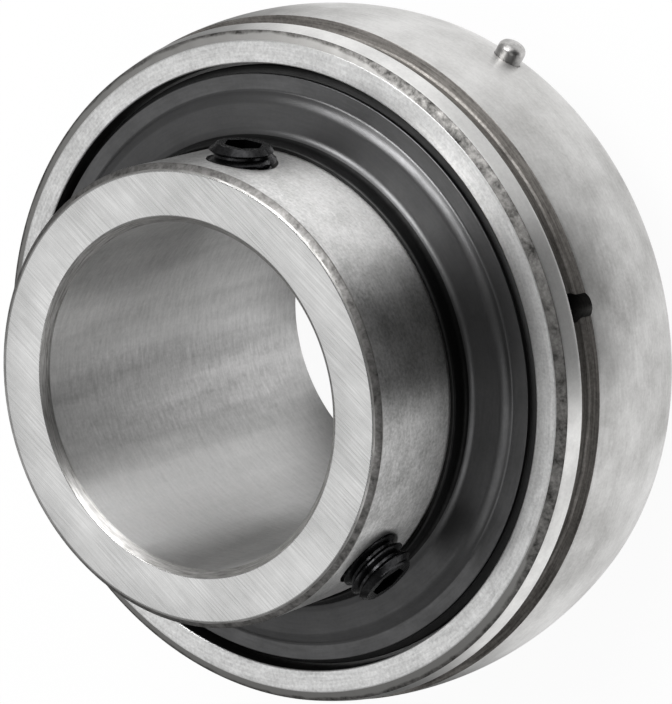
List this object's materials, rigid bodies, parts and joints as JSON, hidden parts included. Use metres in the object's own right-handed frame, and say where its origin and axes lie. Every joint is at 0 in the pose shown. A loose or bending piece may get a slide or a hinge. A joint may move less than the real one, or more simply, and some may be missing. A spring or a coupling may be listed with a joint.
{
  "type": "insert bearing",
  "caption": "Insert ball bearing: spherical outer ring, extended inner ring with set screws, black slingers and a locating pin",
  "frame": {"origin": "on the bearing axis, at the end face of the inner ring's narrow side, on which the bearing stands", "axes": "+Z runs along the bearing axis towards the set screws; -Y points between the two set screws, which sit at -30 and -154 degrees from +X"},
  "size_m": [0.062, 0.062, 0.0381],
  "materials": {
    "ring_steel": "ground bearing steel",
    "pin_steel": "bright drawn pin",
    "ball_steel": "polished balls",
    "sheet_steel": "pressed sheet steel",
    "black_plate": "black phosphated sheet, semi-gloss",
    "black_screw": "black oxide, oiled",
    "rubber": "nitrile rubber"
  },
  "bodies": {
    "outer_body": {"outer_ring": "ring_steel", "locating_pin": "pin_steel", "front_seal_carrier": "sheet_steel", "rear_seal_carrier": "sheet_steel", "front_seal_lip": "rubber", "rear_seal_lip": "rubber"},
    "inner_body": {"inner_ring": "ring_steel", "front_slinger": "black_plate", "rear_slinger": "black_plate"},
    "cage_body": {"cage_front": "sheet_steel", "cage_rear": "sheet_steel", "rivet_1": "sheet_steel", "rivet_2": "sheet_steel", "rivet_3": "sheet_steel", "rivet_4": "sheet_steel", "rivet_5": "sheet_steel", "rivet_6": "sheet_steel", "rivet_7": "sheet_steel", "rivet_8": "sheet_steel", "rivet_9": "sheet_steel"},
    "ball_1_body": {"ball_1": "ball_steel"},
    "ball_2_body": {"ball_2": "ball_steel"},
    "ball_3_body": {"ball_3": "ball_steel"},
    "ball_4_body": {"ball_4": "ball_steel"},
    "ball_5_body": {"ball_5": "ball_steel"},
    "ball_6_body": {"ball_6": "ball_steel"},
    "ball_7_body": {"ball_7": "ball_steel"},
    "ball_8_body": {"ball_8": "ball_steel"},
    "ball_9_body": {"ball_9": "ball_steel"},
    "set_screw_1_body": {"set_screw_1": "black_screw"},
    "set_screw_2_body": {"set_screw_2": "black_screw"}
  },
  "joints": [
    {"name": "inner_spin", "type": "hinge", "parent": "outer_body", "child": "inner_body", "pos_m": [0, 0, 0.0159], "axis": [0, 0, 1], "continuous": true},
    {"name": "cage_spin", "type": "hinge", "parent": "outer_body", "child": "cage_body", "pos_m": [0, 0, 0.0159], "axis": [0, 0, 1], "continuous": true},
    {"name": "ball_1_spin", "type": "hinge", "parent": "cage_body", "child": "ball_1_body", "pos_m": [0.023, 0, 0.0159], "axis": [0, 0, 1], "continuous": true},
    {"name": "ball_2_spin", "type": "hinge", "parent": "cage_body", "child": "ball_2_body", "pos_m": [0.01762, 0.01478, 0.0159], "axis": [0, 0, 1], "continuous": true},
    {"name": "ball_3_spin", "type": "hinge", "parent": "cage_body", "child": "ball_3_body", "pos_m": [0.00399, 0.02265, 0.0159], "axis": [0, 0, 1], "continuous": true},
    {"name": "ball_4_spin", "type": "hinge", "parent": "cage_body", "child": "ball_4_body", "pos_m": [-0.0115, 0.01992, 0.0159], "axis": [0, 0, 1], "continuous": true},
    {"name": "ball_5_spin", "type": "hinge", "parent": "cage_body", "child": "ball_5_body", "pos_m": [-0.02161, 0.00787, 0.0159], "axis": [0, 0, 1], "continuous": true},
    {"name": "ball_6_spin", "type": "hinge", "parent": "cage_body", "child": "ball_6_body", "pos_m": [-0.02161, -0.00787, 0.0159], "axis": [0, 0, 1], "continuous": true},
    {"name": "ball_7_spin", "type": "hinge", "parent": "cage_body", "child": "ball_7_body", "pos_m": [-0.0115, -0.01992, 0.0159], "axis": [0, 0, 1], "continuous": true},
    {"name": "ball_8_spin", "type": "hinge", "parent": "cage_body", "child": "ball_8_body", "pos_m": [0.00399, -0.02265, 0.0159], "axis": [0, 0, 1], "continuous": true},
    {"name": "ball_9_spin", "type": "hinge", "parent": "cage_body", "child": "ball_9_body", "pos_m": [0.01762, -0.01478, 0.0159], "axis": [0, 0, 1], "continuous": true},
    {"name": "set_screw_1_travel", "type": "slide", "parent": "inner_body", "child": "set_screw_1_body", "axis": [0.866, -0.5, 0], "range_m": [-0.0009, 0.0027]},
    {"name": "set_screw_2_travel", "type": "slide", "parent": "inner_body", "child": "set_screw_2_body", "axis": [-0.8988, -0.4384, 0], "range_m": [-0.0021, 0.0015]}
  ],
  "couplings": [
    {"joint": "cage_spin", "follows": "inner_spin", "ratio": 0.39647},
    {"joint": "ball_1_spin", "follows": "inner_spin", "ratio": -2.3112},
    {"joint": "ball_2_spin", "follows": "inner_spin", "ratio": -2.3112},
    {"joint": "ball_3_spin", "follows": "inner_spin", "ratio": -2.3112},
    {"joint": "ball_4_spin", "follows": "inner_spin", "ratio": -2.3112},
    {"joint": "ball_5_spin", "follows": "inner_spin", "ratio": -2.3112},
    {"joint": "ball_6_spin", "follows": "inner_spin", "ratio": -2.3112},
    {"joint": "ball_7_spin", "follows": "inner_spin", "ratio": -2.3112},
    {"joint": "ball_8_spin", "follows": "inner_spin", "ratio": -2.3112},
    {"joint": "ball_9_spin", "follows": "inner_spin", "ratio": -2.3112}
  ]
}
